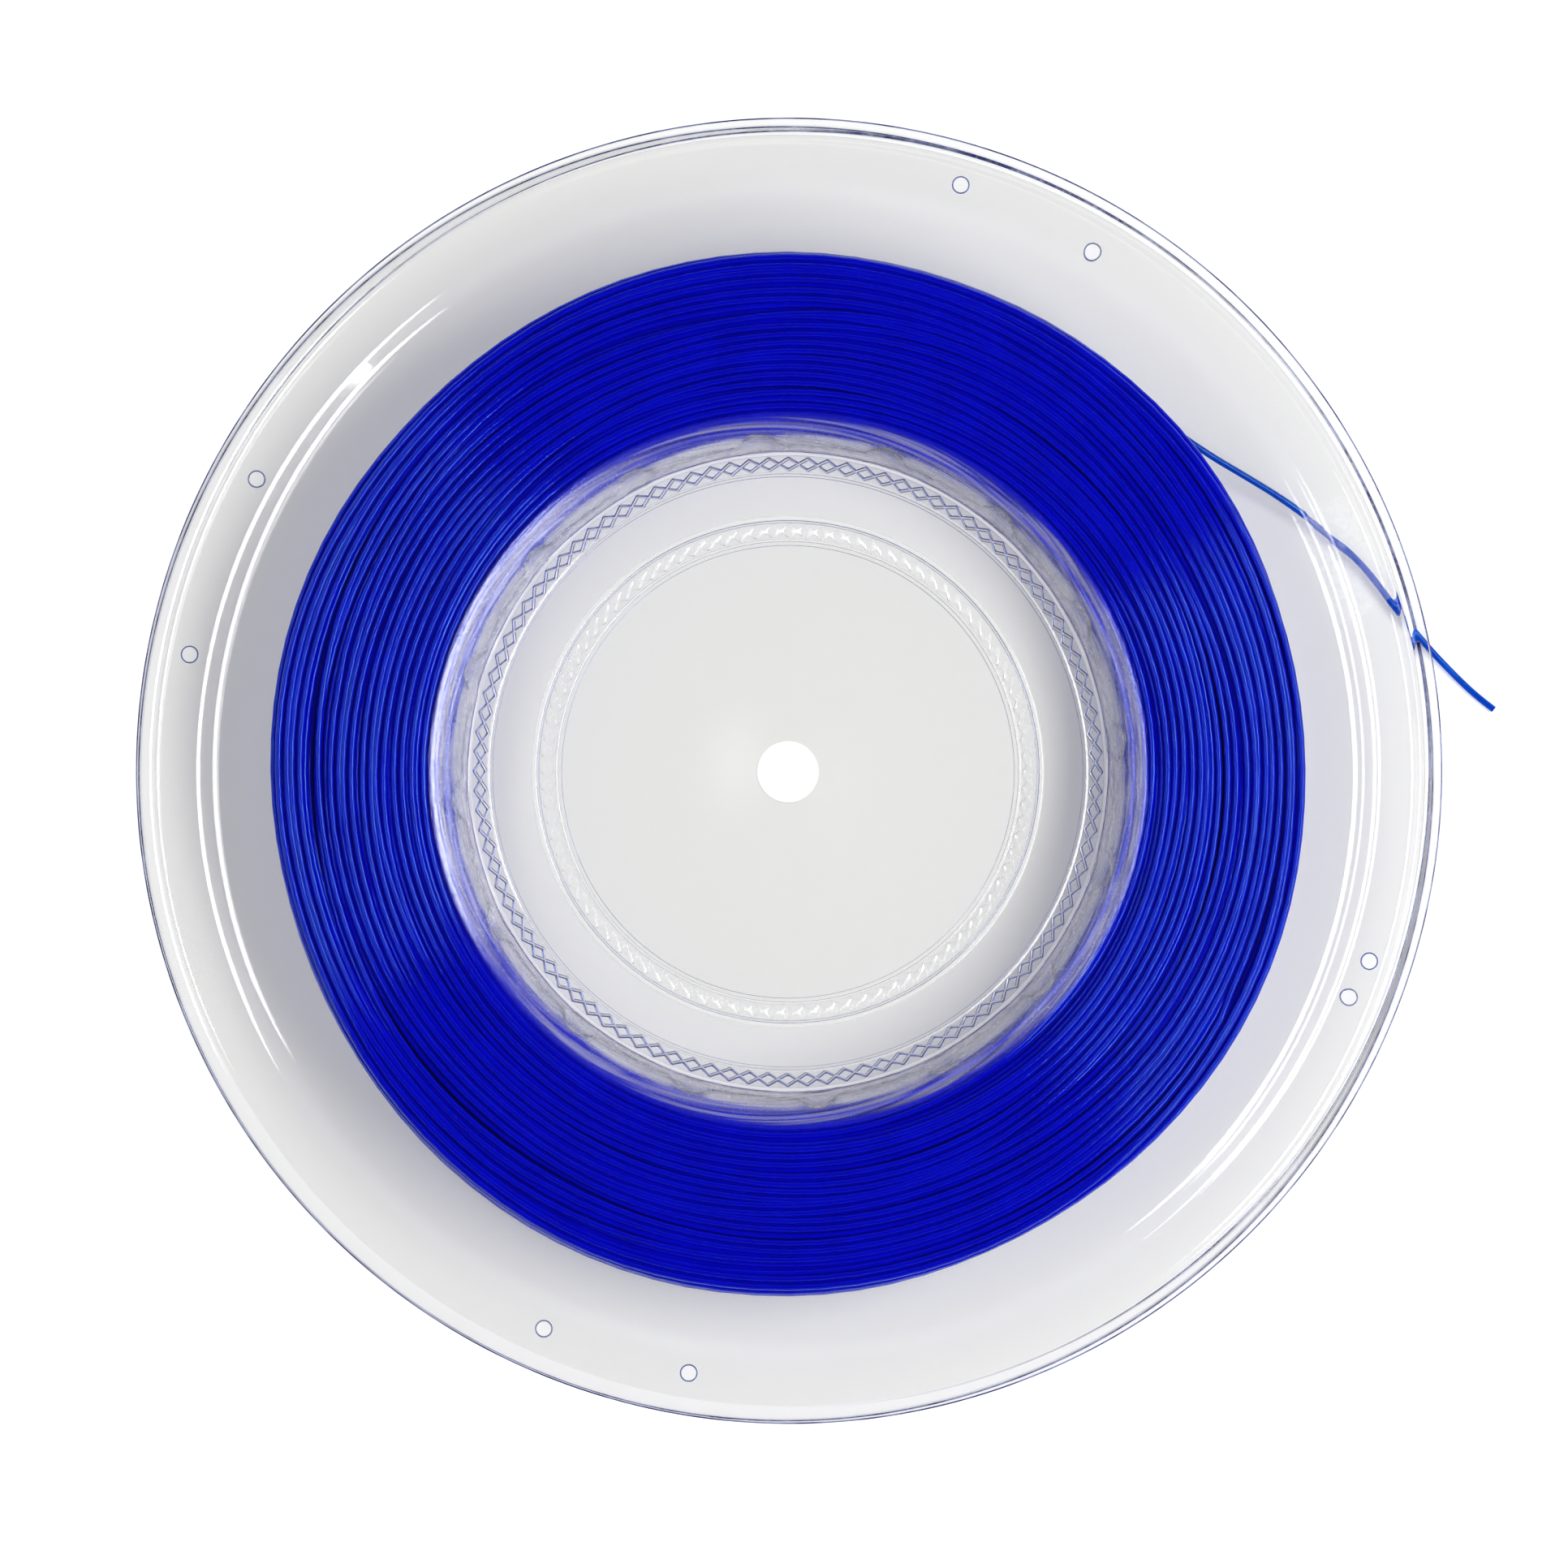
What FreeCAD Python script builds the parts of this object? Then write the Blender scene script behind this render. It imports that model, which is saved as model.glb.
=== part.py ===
"""Racket string reel: two clear thermoformed shells welded back to back at their
hub floors, a machine-wound bundle of string between the flanges, and the string's
outer end taped to the lower flange.

Millimetres, +Z up along the reel's axis, origin on the axis at the table the reel lies on.
A shell's section is drawn as (radius, depth), where depth is measured outwards from the
weld plane, so the same section serves both shells.
"""
import FreeCAD, Part
import math
import os
from FreeCAD import Vector

# --- shells -------------------------------------------------------------------------
FLANGE_RADIUS = 120.0
SHEET = 0.6                     # thickness of the formed sheet
FLOOR_RADIUS = 59.6             # string side of the hub wall, at the weld plane
HUB_DRAFT = 12.0                # degrees, of the hub wall
WEB_DEPTH = 9.5                 # weld plane to the string side of the flange web
RIM_STEP = 2.0                  # web to the flat rim band
LIP_STEP = 1.2                  # rim band to the lip
STEP_INNER_RADIUS = 105.9
STEP_OUTER_RADIUS = 108.3
LIP_INNER_RADIUS = 116.2
LIP_OUTER_RADIUS = 117.3
FLOOR_BEND = 1.2
WEB_BEND = 4.8
STEP_BEND = 2.5
LIP_BEND = 1.0
HUB_HOLE_RADIUS = 5.65

FLUTES = 16                     # upright half-round ribs in the hub wall
FLUTE_START = 5.2               # degrees
FLUTE_AXIS_RADIUS = 55.33
FLUTE_RADIUS = 5.07             # hollow side, at the floor

WELD_BANDS = ((43.05, 45.8), (55.4, 58.2))
WELD_SINK = 0.15

TIE_HOLE_RADIUS = 1.35
TIE_CIRCLE_RADIUS = 112.2
TIE_ANGLES = (73.7, 169.1, 260.5, 341.8)
REAR_TURN = -39.9               # degrees between the two identical shells

# --- string -------------------------------------------------------------------------
STRING_RADIUS = 0.625           # 1.25 mm monofilament
WINDING_RADIUS = 95.0
WINDING_FLOOR_RADIUS = 61.2     # rests on the flutes
WINDING_BEND = 3.4
WINDING_EDGE = 1.5
SIDE_GAP = 0.05

# The loose end's route, from the winding to its cut end: (x, y, height over the table)
TAIL_ROUTE = (
    (72.2, 62.7, 8.6),
    (78.0, 58.8, 7.5),
    (84.8, 54.9, 6.2),
    (91.9, 50.7, 4.9),
    (98.4, 45.7, 3.4),
    (103.0, 42.1, 2.7),
    (106.3, 39.0, 2.55),
    (109.3, 35.4, 2.6),
    (112.8, 30.6, 2.5),
    (116.6, 26.1, 1.75),
    (120.3, 21.9, 1.35),
    (124.8, 17.3, 1.0),
    (128.4, 14.0, 0.8),
    (131.2, 11.9, 0.7),
)
ARC_SHARE = 0.45                # of the shorter run beside a bend

# --- tape ---------------------------------------------------------------------------
TAPE_FILM = 0.1
TAPE_GLUE = 0.05                # gap that the adhesive fills
TAPE_WIDTH = 20.8
TAPE_LENGTH = 10.8
TAPE_END = (108.05, 42.3)       # middle of the end nearest the lip
TAPE_ANGLE = 29.5               # degrees, direction of its length
TUNNEL_WIDTH = 2.2
TUNNEL_HEIGHT = 2.4
TAPED_RUNS = range(2, 9)        # runs of the tail that can lie under the tape

FAR = 30.0                      # reach of a cutting solid past what it cuts
HALF_HEIGHT = WEB_DEPTH + RIM_STEP + LIP_STEP + SHEET
UP = Vector(0, 0, 1)
AXIS_POINT = Vector(0, 0, 0)


def unit(angle):
    """Horizontal unit vector at an angle in degrees."""
    turn = math.radians(angle)
    return Vector(math.cos(turn), math.sin(turn), 0)


def lineCrossing(point, direction, otherPoint, otherDirection):
    """Where two lines of the section plane meet."""
    gap = otherPoint - point
    cross = direction.x * otherDirection.z - direction.z * otherDirection.x
    share = (gap.x * otherDirection.z - gap.z * otherDirection.x) / cross
    return point + direction * share


def roundedEdges(corners, radii):
    """Straight runs joined by tangent arcs, one radius for each inner corner."""
    edges = []
    start = corners[0]
    for before, corner, after, radius in zip(corners, corners[1:], corners[2:], radii):
        into = (corner - before).normalize()
        away = (after - corner).normalize()
        turn = into.getAngle(away)
        reach = radius * math.tan(turn / 2)
        first = corner - into * reach
        last = corner + away * reach
        inward = (away - into).normalize()
        middle = corner + inward * (radius / math.cos(turn / 2) - radius)
        edges.append(Part.LineSegment(start, first).toShape())
        edges.append(Part.Arc(first, middle, last).toShape())
        start = last
    edges.append(Part.LineSegment(start, corners[-1]).toShape())
    return edges


def offsetSection(section, distance):
    """The section moved outwards, away from the string; its bends keep their centres."""
    corners = [Vector(radius, 0, depth) for radius, depth, _ in section]
    bends = [bend for _, _, bend in section[1:-1]]
    ways = [(b - a).normalize() for a, b in zip(corners, corners[1:])]
    shifts = [Vector(-way.z, 0, way.x) * distance for way in ways]
    moved = [corners[0] + shifts[0]]
    radii = []
    for i, bend in enumerate(bends):
        base = corners[i + 1]
        crossing = lineCrossing(base + shifts[i], ways[i], base + shifts[i + 1], ways[i + 1])
        outwards = ways[i].x * ways[i + 1].z - ways[i].z * ways[i + 1].x > 0
        radii.append(bend - distance if outwards else bend + distance)
        moved.append(crossing)
    moved.append(corners[-1] + shifts[-1])
    return moved, radii


def revolved(edges, closing):
    """A full turn of the section that the edges and the closing points enclose."""
    start = edges[0].Vertexes[0].Point
    end = edges[-1].Vertexes[-1].Point
    points = [end] + closing + [start]
    sides = [Part.LineSegment(a, b).toShape() for a, b in zip(points, points[1:])]
    face = Part.Face(Part.Wire(edges + sides))
    return face.revolve(AXIS_POINT, UP, 360)


def shellSection():
    """String side of a shell from the axis to the lip, as (radius, depth, bend)."""
    lean = math.tan(math.radians(HUB_DRAFT))
    band = WEB_DEPTH + RIM_STEP
    lip = band + LIP_STEP
    return (
        (0.0, 0.0, 0.0),
        (FLOOR_RADIUS, 0.0, FLOOR_BEND),
        (FLOOR_RADIUS + WEB_DEPTH * lean, WEB_DEPTH, WEB_BEND),
        (STEP_INNER_RADIUS, WEB_DEPTH, STEP_BEND),
        (STEP_OUTER_RADIUS, band, STEP_BEND),
        (LIP_INNER_RADIUS, band, LIP_BEND),
        (LIP_OUTER_RADIUS, lip, LIP_BEND),
        (FLANGE_RADIUS, lip, 0.0),
    )


def spaceOutside(distance, reach):
    """Everything outwards of the shell's string side, from a distance off it."""
    corners, radii = offsetSection(shellSection(), distance)
    if reach > FLANGE_RADIUS:
        corners[-1] = Vector(reach, 0, corners[-1].z)
    top = [Vector(reach, 0, FAR + reach), Vector(0, 0, FAR + reach)]
    return revolved(roundedEdges(corners, radii), top)


def flute(angle, distance):
    """One upright rib of the hub wall, as a leaning column; distance grows it."""
    lean = math.tan(math.radians(HUB_DRAFT))
    height = FLANGE_RADIUS
    radius = FLUTE_RADIUS + SHEET - distance
    foot = unit(angle) * FLUTE_AXIS_RADIUS + UP * distance
    return Part.makeCone(radius, radius + height * lean, height, foot, UP)


def ring(inner, outer, low, high):
    """A flat ring between two depths."""
    height = high - low
    base = UP * low
    disc = Part.makeCylinder(outer, height, base, UP)
    return disc.cut(Part.makeCylinder(inner, height, base, UP))


def shell():
    """One formed shell, weld plane at z = 0 and hollow side up."""
    angles = [FLUTE_START + i * 360.0 / FLUTES for i in range(FLUTES)]
    blank = spaceOutside(0.0, FLANGE_RADIUS).fuse([flute(a, 0.0) for a in angles])
    mould = spaceOutside(SHEET, FLANGE_RADIUS + FAR).fuse([flute(a, SHEET) for a in angles])
    disc = Part.makeCylinder(FLANGE_RADIUS, WEB_DEPTH + FAR, AXIS_POINT, UP)
    body = blank.common(disc).cut(mould)
    cutters = [ring(low, high, SHEET - WELD_SINK, SHEET + 1) for low, high in WELD_BANDS]
    cutters.append(Part.makeCylinder(HUB_HOLE_RADIUS, FAR, UP * -1, UP))
    for angle in TIE_ANGLES:
        place = unit(angle) * TIE_CIRCLE_RADIUS
        cutters.append(Part.makeCylinder(TIE_HOLE_RADIUS, FAR, place, UP))
    return body.cut(cutters).removeSplitter()


def frontShell():
    """The upper shell, hollow side up."""
    piece = shell()
    piece.translate(UP * HALF_HEIGHT)
    return piece


def rearShell():
    """The same shell turned over, and turned about the axis as it was welded."""
    piece = shell()
    piece.rotate(AXIS_POINT, Vector(1, 0, 0), 180)
    piece.rotate(AXIS_POINT, UP, REAR_TURN)
    piece.translate(UP * HALF_HEIGHT)
    return piece


def stringWinding():
    """Outer shape of the wound string: a ring with bevelled inner flanks."""
    side = WEB_DEPTH - SIDE_GAP
    lean = side * math.tan(math.radians(HUB_DRAFT))
    corners = [
        Vector(WINDING_FLOOR_RADIUS, 0, 0),
        Vector(WINDING_FLOOR_RADIUS + lean, 0, side),
        Vector(WINDING_RADIUS, 0, side),
        Vector(WINDING_RADIUS, 0, 0),
    ]
    half = revolved(roundedEdges(corners, [WINDING_BEND, WINDING_EDGE]), [])
    other = half.mirror(AXIS_POINT, UP)
    whole = half.fuse(other).removeSplitter()
    whole.translate(UP * HALF_HEIGHT)
    return whole


def tailPoints():
    """The loose end's route as vectors."""
    return [Vector(*point) for point in TAIL_ROUTE]


def tailRadii(points):
    """Bend radius at each inner point, from the runs beside it."""
    radii = []
    for before, corner, after in zip(points, points[1:], points[2:]):
        run = min((corner - before).Length, (after - corner).Length)
        turn = (corner - before).getAngle(after - corner)
        radii.append(ARC_SHARE * run / math.tan(turn / 2))
    return radii


def stringTail():
    """The loose outer end of the string, a tube with a square-cut end."""
    points = tailPoints()
    path = Part.Wire(roundedEdges(points, tailRadii(points)))
    way = points[1] - points[0]
    circle = Part.Circle(points[0], way, STRING_RADIUS).toShape()
    tube = path.makePipeShell([Part.Wire(circle)], True, True)
    return tube, path.Length


def uprightStrip(points, width):
    """Upright walls of a width that follow the points in plan, with round corners."""
    pieces = []
    for a, b in zip(points, points[1:]):
        way = Vector(b.x - a.x, b.y - a.y, 0)
        side = Vector(-way.y, way.x, 0).normalize() * (width / 2)
        low = Vector(a.x, a.y, -FAR)
        outline = [low + side, low - side, low + way - side, low + way + side, low + side]
        pieces.append(Part.Face(Part.makePolygon(outline)).extrude(UP * 2 * FAR))
        pieces.append(Part.makeCylinder(width / 2, 2 * FAR, low, UP))
    return pieces[0].fuse(pieces[1:])


def rimSection():
    """String side of a flange alone, from the web out to the lip."""
    return ((STEP_INNER_RADIUS - FAR, WEB_DEPTH, 0.0),) + shellSection()[3:]


def rimLayer(low, high, lift):
    """Ring over the lower flange: from a distance low off its string side, up to a
    distance high off it, raised by lift."""
    near, nearRadii = offsetSection(rimSection(), -low)
    far, farRadii = offsetSection(rimSection(), -high)
    far = [corner - UP * lift for corner in far]
    ends = [
        Part.LineSegment(near[0], far[0]).toShape(),
        Part.LineSegment(near[-1], far[-1]).toShape(),
    ]
    edges = roundedEdges(near, nearRadii) + roundedEdges(far, farRadii) + ends
    outline = Part.Wire(Part.__sortEdges__(edges))
    layer = Part.Face(outline).revolve(AXIS_POINT, UP, 360)
    layer.rotate(AXIS_POINT, Vector(1, 0, 0), 180)
    layer.translate(UP * HALF_HEIGHT)
    return layer


def tapeOutline():
    """Upright block in the plan shape of the tape."""
    along = unit(TAPE_ANGLE)
    across = unit(TAPE_ANGLE + 90) * (TAPE_WIDTH / 2)
    end = Vector(TAPE_END[0], TAPE_END[1], -FAR)
    start = end - along * TAPE_LENGTH
    outline = [end + across, end - across, start - across, start + across, end + across]
    return Part.Face(Part.makePolygon(outline)).extrude(UP * 2 * FAR)


def tailTape():
    """Clear tape pressed on the lower flange, raised into a tunnel over the string."""
    points = tailPoints()
    taped = points[TAPED_RUNS.start:TAPED_RUNS.stop + 1]
    block = tapeOutline()
    top = TAPE_GLUE + TAPE_FILM
    film = rimLayer(TAPE_GLUE, top, 0.0).common(block)
    outer = rimLayer(TAPE_GLUE, top, TUNNEL_HEIGHT).common(block)
    inner = rimLayer(0.0, TAPE_GLUE, TUNNEL_HEIGHT).common(block)
    raised = outer.common(uprightStrip(taped, TUNNEL_WIDTH + 2 * TAPE_FILM))
    tape = film.fuse(raised).cut(inner.common(uprightStrip(taped, TUNNEL_WIDTH)))
    return tape.removeSplitter()


def save(name, shape):
    """Writes one node and says how large it is."""
    solid = shape.Solids[0] if len(shape.Solids) == 1 else shape
    box = solid.BoundBox
    print(name, "solids", len(shape.Solids), "valid", solid.isValid(),
          "volume %.1f" % solid.Volume,
          "z %.2f to %.2f" % (box.ZMin, box.ZMax), "x to %.2f" % box.XMax)
    solid.exportStep("parts/%s.step" % name)


def main():
    os.makedirs("parts", exist_ok=True)
    save("front_shell", frontShell())
    save("rear_shell", rearShell())
    save("string_winding", stringWinding())
    tail, length = stringTail()
    save("string_tail", tail)
    save("tail_tape", tailTape())
    print("tail bend radii", ["%.1f" % radius for radius in tailRadii(tailPoints())])
    section = math.pi * STRING_RADIUS ** 2
    print("tail length %.1f, section x length %.2f" % (length, section * length))


main()
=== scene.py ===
import bpy
import math
import random
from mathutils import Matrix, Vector, noise


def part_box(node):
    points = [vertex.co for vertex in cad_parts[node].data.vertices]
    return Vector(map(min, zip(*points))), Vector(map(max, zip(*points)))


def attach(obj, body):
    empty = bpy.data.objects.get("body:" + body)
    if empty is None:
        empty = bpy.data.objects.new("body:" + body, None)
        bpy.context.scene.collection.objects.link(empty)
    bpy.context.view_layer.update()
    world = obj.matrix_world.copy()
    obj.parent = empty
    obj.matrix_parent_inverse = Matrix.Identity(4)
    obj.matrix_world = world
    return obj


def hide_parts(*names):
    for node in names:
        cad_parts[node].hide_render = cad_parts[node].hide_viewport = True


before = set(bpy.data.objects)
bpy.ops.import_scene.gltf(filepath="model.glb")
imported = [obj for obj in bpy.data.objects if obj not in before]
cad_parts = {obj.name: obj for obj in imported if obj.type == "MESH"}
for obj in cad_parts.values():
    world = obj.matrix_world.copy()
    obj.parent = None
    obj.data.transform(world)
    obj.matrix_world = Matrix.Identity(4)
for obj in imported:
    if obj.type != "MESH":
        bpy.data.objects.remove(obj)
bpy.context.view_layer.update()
mm = 0.001
body = "root"

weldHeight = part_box("rear_shell")[1].z       # the plane where both hub floors meet
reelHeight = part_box("front_shell")[1].z
stringRadius = 0.625 * mm


def deselectAll():
    if bpy.context.mode != "OBJECT":
        bpy.ops.object.mode_set(mode="OBJECT")
    bpy.ops.object.select_all(action="DESELECT")


def makeActive(piece):
    deselectAll()
    piece.select_set(True)
    bpy.context.view_layer.objects.active = piece


def namePiece(name):
    piece = bpy.context.object
    piece.name = name
    piece.data.name = name
    return piece


def joinInto(piece, others):
    deselectAll()
    for other in others:
        other.select_set(True)
    piece.select_set(True)
    bpy.context.view_layer.objects.active = piece
    bpy.ops.object.join()
    return piece


def selectVerts(piece, test):
    # picks the vertices that pass the test, by their place
    bpy.ops.object.mode_set(mode="OBJECT")
    for item in (piece.data.polygons, piece.data.edges):
        item.foreach_set("select", [False] * len(item))
    picked = [test(vert.co) for vert in piece.data.vertices]
    piece.data.vertices.foreach_set("select", picked)
    bpy.ops.object.mode_set(mode="EDIT")
    bpy.ops.mesh.select_mode(type="VERT")


def selectEdges(piece, test):
    # picks the edges whose two ends pass the test together
    bpy.ops.object.mode_set(mode="OBJECT")
    mesh = piece.data
    for item in (mesh.polygons, mesh.vertices):
        item.foreach_set("select", [False] * len(item))
    spots = mesh.vertices
    picked = [test(spots[e.vertices[0]].co, spots[e.vertices[1]].co) for e in mesh.edges]
    mesh.edges.foreach_set("select", picked)
    bpy.ops.object.mode_set(mode="EDIT")
    bpy.ops.mesh.select_mode(type="EDGE")


def paintFaces(piece, material, test):
    # gives the faces that pass the test, by their middle and normal, one more material
    piece.data.materials.append(material)
    last = len(piece.data.materials) - 1
    for face in piece.data.polygons:
        if test(face.center, face.normal):
            face.material_index = last


def finishPiece(piece, material, slotName, *nodes):
    piece.data.materials.clear()
    piece.data.materials.append(material)
    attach(piece, body)
    if nodes:
        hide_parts(*nodes)


def hexColour(code):
    # sRGB hex to the linear colour that shaders take
    parts = [int(code[i:i + 2], 16) / 255 for i in (0, 2, 4)]
    linear = [p / 12.92 if p <= 0.04045 else ((p + 0.055) / 1.055) ** 2.4 for p in parts]
    return (*linear, 1.0)


def addNode(tree, kind, settings=None, links=None):
    # one node; settings go to its own properties or its sockets, links to its sockets
    node = tree.nodes.new(kind)
    for name, value in (settings or {}).items():
        if name in node.inputs:
            node.inputs[name].default_value = value
        else:
            setattr(node, name, value)
    for name, source in (links or {}).items():
        tree.links.new(source, node.inputs[name])
    return node


def newMaterial(name):
    material = bpy.data.materials.new(name)
    material.use_nodes = True
    material.node_tree.nodes.clear()
    return material, material.node_tree


sheetLook = {
    "tint": "F8F8F7",        # what each face takes from the view through it
    "shade": "FAFAF9",       # what each face takes from the light that passes it
    "ior": 1.48,             # rigid PVC is near 1.53, and this one reflects a little less
    "roughness": 0.02,
    "ripple": 22.0,          # mm, slow ripples from forming
    "haze": 0.9,             # mm, rub marks
}


def pressedPvcSheet(name, tint, clear):
    # clear rigid PVC, vacuum formed: glassy, with slow ripples and faint rub haze
    material, tree = newMaterial(name)
    place = addNode(tree, "ShaderNodeTexCoord")
    ripple = addNode(tree, "ShaderNodeTexNoise",
                     {"Scale": 1 / (sheetLook["ripple"] * mm), "Detail": 1.0, "Roughness": 0.4},
                     {"Vector": place.outputs["Object"]})
    rub = addNode(tree, "ShaderNodeTexNoise",
                  {"Scale": 1 / (sheetLook["haze"] * mm), "Detail": 4.0, "Roughness": 0.7},
                  {"Vector": place.outputs["Object"]})
    haze = addNode(tree, "ShaderNodeMapRange",
                   {"From Min": 0.45, "From Max": 0.8, "To Min": sheetLook["roughness"],
                    "To Max": 0.12},
                   {"Value": rub.outputs[0]})
    flat = addNode(tree, "ShaderNodeVectorMath", {"operation": "MULTIPLY"})
    tree.links.new(place.outputs["Object"], flat.inputs[0])
    flat.inputs[1].default_value = (1, 1, 0)
    radius = addNode(tree, "ShaderNodeVectorMath", {"operation": "LENGTH"})
    tree.links.new(flat.outputs[0], radius.inputs[0])
    onWall = addNode(tree, "ShaderNodeMapRange",       # drawn deepest, so it is streaked and dull
                     {"From Min": 58.6 * mm, "From Max": 59.4 * mm},
                     {"Value": radius.outputs["Value"]})
    offWall = addNode(tree, "ShaderNodeMapRange",
                      {"From Min": 66.6 * mm, "From Max": 64.6 * mm},
                      {"Value": radius.outputs["Value"]})
    wall = addNode(tree, "ShaderNodeMath", {"operation": "MULTIPLY"})
    tree.links.new(onWall.outputs[0], wall.inputs[0])
    tree.links.new(offWall.outputs[0], wall.inputs[1])
    rings = addNode(tree, "ShaderNodeCombineXYZ", None, {"X": radius.outputs["Value"]})
    spread = addNode(tree, "ShaderNodeVectorMath", {"operation": "MULTIPLY_ADD"})
    tree.links.new(rings.outputs[0], spread.inputs[0])
    spread.inputs[1].default_value = (1 / (0.5 * mm), 0, 0)
    slow = addNode(tree, "ShaderNodeVectorMath", {"operation": "SCALE", "Scale": 1 / (9 * mm)})
    tree.links.new(place.outputs["Object"], slow.inputs[0])
    tree.links.new(slow.outputs[0], spread.inputs[2])
    streaks = addNode(tree, "ShaderNodeTexNoise", {"Scale": 1.0, "Detail": 3.0, "Distortion": 0.6},
                      {"Vector": spread.outputs[0]})
    streaked = addNode(tree, "ShaderNodeMath", {"operation": "MULTIPLY"})
    tree.links.new(streaks.outputs[0], streaked.inputs[0])
    tree.links.new(wall.outputs[0], streaked.inputs[1])
    drawn = addNode(tree, "ShaderNodeBump", {"Strength": 0.35, "Distance": 0.25 * mm},
                    {"Height": streaked.outputs[0]})
    bump = addNode(tree, "ShaderNodeBump", {"Strength": 0.25, "Distance": 0.4 * mm},
                   {"Height": ripple.outputs[0], "Normal": drawn.outputs[0]})
    dull = addNode(tree, "ShaderNodeMath", {"operation": "MULTIPLY_ADD"})
    tree.links.new(wall.outputs[0], dull.inputs[0])
    dull.inputs[1].default_value = 0.20
    tree.links.new(haze.outputs[0], dull.inputs[2])
    milky = addNode(tree, "ShaderNodeMapRange",        # overstretched sheet turns white in streaks
                    {"From Min": 0.40, "From Max": 0.72, "To Min": clear, "To Max": 0.82 * clear},
                    {"Value": streaked.outputs[0]})
    plastic = addNode(tree, "ShaderNodeBsdfPrincipled",
                      {"Base Color": hexColour(tint), "IOR": sheetLook["ior"]},
                      {"Roughness": dull.outputs[0], "Normal": bump.outputs[0],
                       "Transmission Weight": milky.outputs[0]})
    through = addNode(tree, "ShaderNodeBsdfTransparent", {"Color": hexColour(sheetLook["shade"])})
    rays = addNode(tree, "ShaderNodeLightPath")
    mixed = plastic.outputs[0]
    for ray in ("Is Shadow Ray", "Is Diffuse Ray"):   # lamps reach what is inside
        step = addNode(tree, "ShaderNodeMixShader")
        tree.links.new(rays.outputs[ray], step.inputs[0])
        tree.links.new(mixed, step.inputs[1])
        tree.links.new(through.outputs[0], step.inputs[2])
        mixed = step.outputs[0]
    addNode(tree, "ShaderNodeOutputMaterial", None, {"Surface": mixed})
    return material


stringLook = {
    "deep": "0000CA",        # dyed in the mass
    "lit": "0002DA",
    "ior": 1.62,             # silicone-slick skin, a little over bare polyester's 1.57
    "roughness": 0.045,
    "glint": "90D0FF",       # the dye tints what the skin throws back
    "grain": 0.35,           # mm, fine die marks
    "mottle": 6.0,           # mm, uneven dye and rubbed silicone
}


def extrudedPolyester(name, deep, lit):
    # co-polyester monofilament, drawn through a die: smooth, glossy, a little translucent
    material, tree = newMaterial(name)
    place = addNode(tree, "ShaderNodeTexCoord")
    mottle = addNode(tree, "ShaderNodeTexNoise",
                     {"Scale": 1 / (stringLook["mottle"] * mm), "Detail": 3.0},
                     {"Vector": place.outputs["Object"]})
    colour = addNode(tree, "ShaderNodeValToRGB", None, {"Fac": mottle.outputs[0]})
    ramp = colour.color_ramp
    ramp.elements[0].position = 0.35
    ramp.elements[0].color = hexColour(deep)
    ramp.elements[1].position = 0.75
    ramp.elements[1].color = hexColour(lit)
    grain = addNode(tree, "ShaderNodeTexNoise",
                    {"Scale": 1 / (stringLook["grain"] * mm), "Detail": 2.0},
                    {"Vector": place.outputs["Object"]})
    bump = addNode(tree, "ShaderNodeBump", {"Strength": 0.04, "Distance": 0.02 * mm},
                   {"Height": grain.outputs[0]})
    plastic = addNode(tree, "ShaderNodeBsdfPrincipled",
                      {"IOR": stringLook["ior"], "Roughness": stringLook["roughness"],
                       "Specular Tint": hexColour(stringLook["glint"])},
                      {"Base Color": colour.outputs[0], "Normal": bump.outputs[0]})
    addNode(tree, "ShaderNodeOutputMaterial", None, {"Surface": plastic.outputs[0]})
    return material


def slitPvcEdgePaintedPipedLight():
    # the trimmed edge of the sheet, painted navy to grey-blue: painted light for the blue string's
    # light piped out of the edge
    material, tree = newMaterial("slitPvcEdgePaintedPipedLight")
    place = addNode(tree, "ShaderNodeTexCoord")
    # patches of the painted piped light, from navy to grey-blue
    pipedLightPatches = addNode(tree, "ShaderNodeTexNoise", {"Scale": 1 / (7.0 * mm), "Detail": 3.0},
                   {"Vector": place.outputs["Object"]})
    colour = addNode(tree, "ShaderNodeValToRGB", None, {"Fac": pipedLightPatches.outputs[0]})
    colour.color_ramp.elements[0].position = 0.42
    colour.color_ramp.elements[0].color = hexColour("1C2670")
    colour.color_ramp.elements[1].position = 0.60
    colour.color_ramp.elements[1].color = hexColour("8088B4")
    edge = addNode(tree, "ShaderNodeBsdfPrincipled",
                   {"Roughness": 0.4, "IOR": sheetLook["ior"]},
                   {"Base Color": colour.outputs[0]})
    addNode(tree, "ShaderNodeOutputMaterial", None, {"Surface": edge.outputs[0]})
    return material


def slitPolypropylene():
    # clear packing tape: thin cast film with a slightly milky glue
    material, tree = newMaterial("slitPolypropylene")
    place = addNode(tree, "ShaderNodeTexCoord")
    glue = addNode(tree, "ShaderNodeTexNoise", {"Scale": 1 / (2.2 * mm), "Detail": 4.0},
                   {"Vector": place.outputs["Object"]})
    milk = addNode(tree, "ShaderNodeMapRange",       # trapped air where the glue has not wetted
                   {"From Min": 0.35, "From Max": 0.75, "To Min": 0.05, "To Max": 0.16},
                   {"Value": glue.outputs[0]})
    film = addNode(tree, "ShaderNodeBsdfPrincipled",
                   {"Base Color": hexColour("FCFDFF"), "Roughness": 0.22, "IOR": 1.49},
                   {"Alpha": milk.outputs[0]})
    through = addNode(tree, "ShaderNodeBsdfTransparent")
    rays = addNode(tree, "ShaderNodeLightPath")
    lit = addNode(tree, "ShaderNodeMixShader", None, {0: rays.outputs["Is Shadow Ray"]})
    tree.links.new(film.outputs[0], lit.inputs[1])
    tree.links.new(through.outputs[0], lit.inputs[2])
    addNode(tree, "ShaderNodeOutputMaterial", None, {"Surface": lit.outputs[0]})
    return material


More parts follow.
